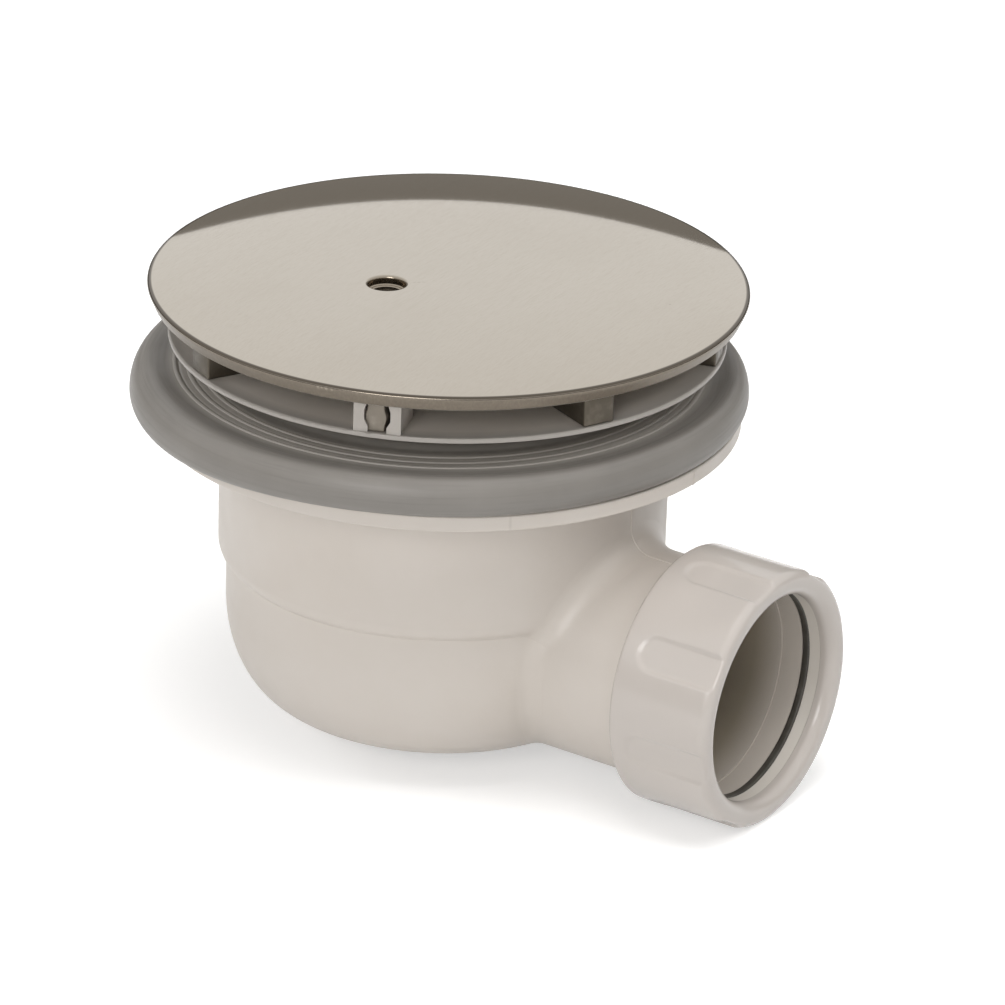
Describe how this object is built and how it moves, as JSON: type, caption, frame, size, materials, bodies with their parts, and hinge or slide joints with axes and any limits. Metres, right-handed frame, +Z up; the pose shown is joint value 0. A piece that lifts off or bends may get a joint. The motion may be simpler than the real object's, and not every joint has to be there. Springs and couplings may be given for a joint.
{
  "type": "shower trap",
  "caption": "Shower waste trap: brushed lift-off cover on feet, clamping ring and rubber gasket for a tray hole, rounded bowl and a side outlet with a compression nut.",
  "frame": {"origin": "centre of the tray hole in the plane of the tray's underside, where the gasket's ridges press", "axes": "+Z up through the waste, +X out along the outlet"},
  "size_m": [0.1371, 0.119, 0.0932],
  "materials": {
    "cover_metal": "brushed nickel",
    "body_plastic": "satin moulded",
    "flange_plastic": "satin moulded",
    "nut_plastic": "semi-gloss moulded",
    "insert_plastic": "satin moulded",
    "washer_plastic": "smooth",
    "gasket_rubber": "matt",
    "seal_rubber": "matt",
    "screw_steel": "bright"
  },
  "bodies": {
    "trap": {"trap_body": "body_plastic", "clamping_flange": "flange_plastic", "flange_screws": "screw_steel", "tray_gasket": "gasket_rubber", "dip_tube": "insert_plastic", "dip_tube_seal": "seal_rubber", "trap_cup": "insert_plastic"},
    "cover": {"cover": "cover_metal"},
    "outlet_gland": {"thrust_washer": "washer_plastic", "outlet_seal": "seal_rubber"},
    "outlet_nut": {"outlet_nut": "nut_plastic"}
  },
  "joints": [
    {"name": "cover_lift", "type": "slide", "parent": "trap", "child": "cover", "axis": [0, 0, 1], "range_m": [0, 0.03]},
    {"name": "nut_advance", "type": "slide", "parent": "trap", "child": "outlet_gland", "axis": [1, 0, 0], "range_m": [0, 0.0121]},
    {"name": "nut_turn", "type": "hinge", "parent": "outlet_gland", "child": "outlet_nut", "pos_m": [0.067, 0, -0.051], "axis": [1, 0, 0], "range_deg": [0, 1440]}
  ],
  "couplings": [
    {"joint": "nut_advance", "follows": "nut_turn", "m_per_rad": 0.00047746}
  ]
}
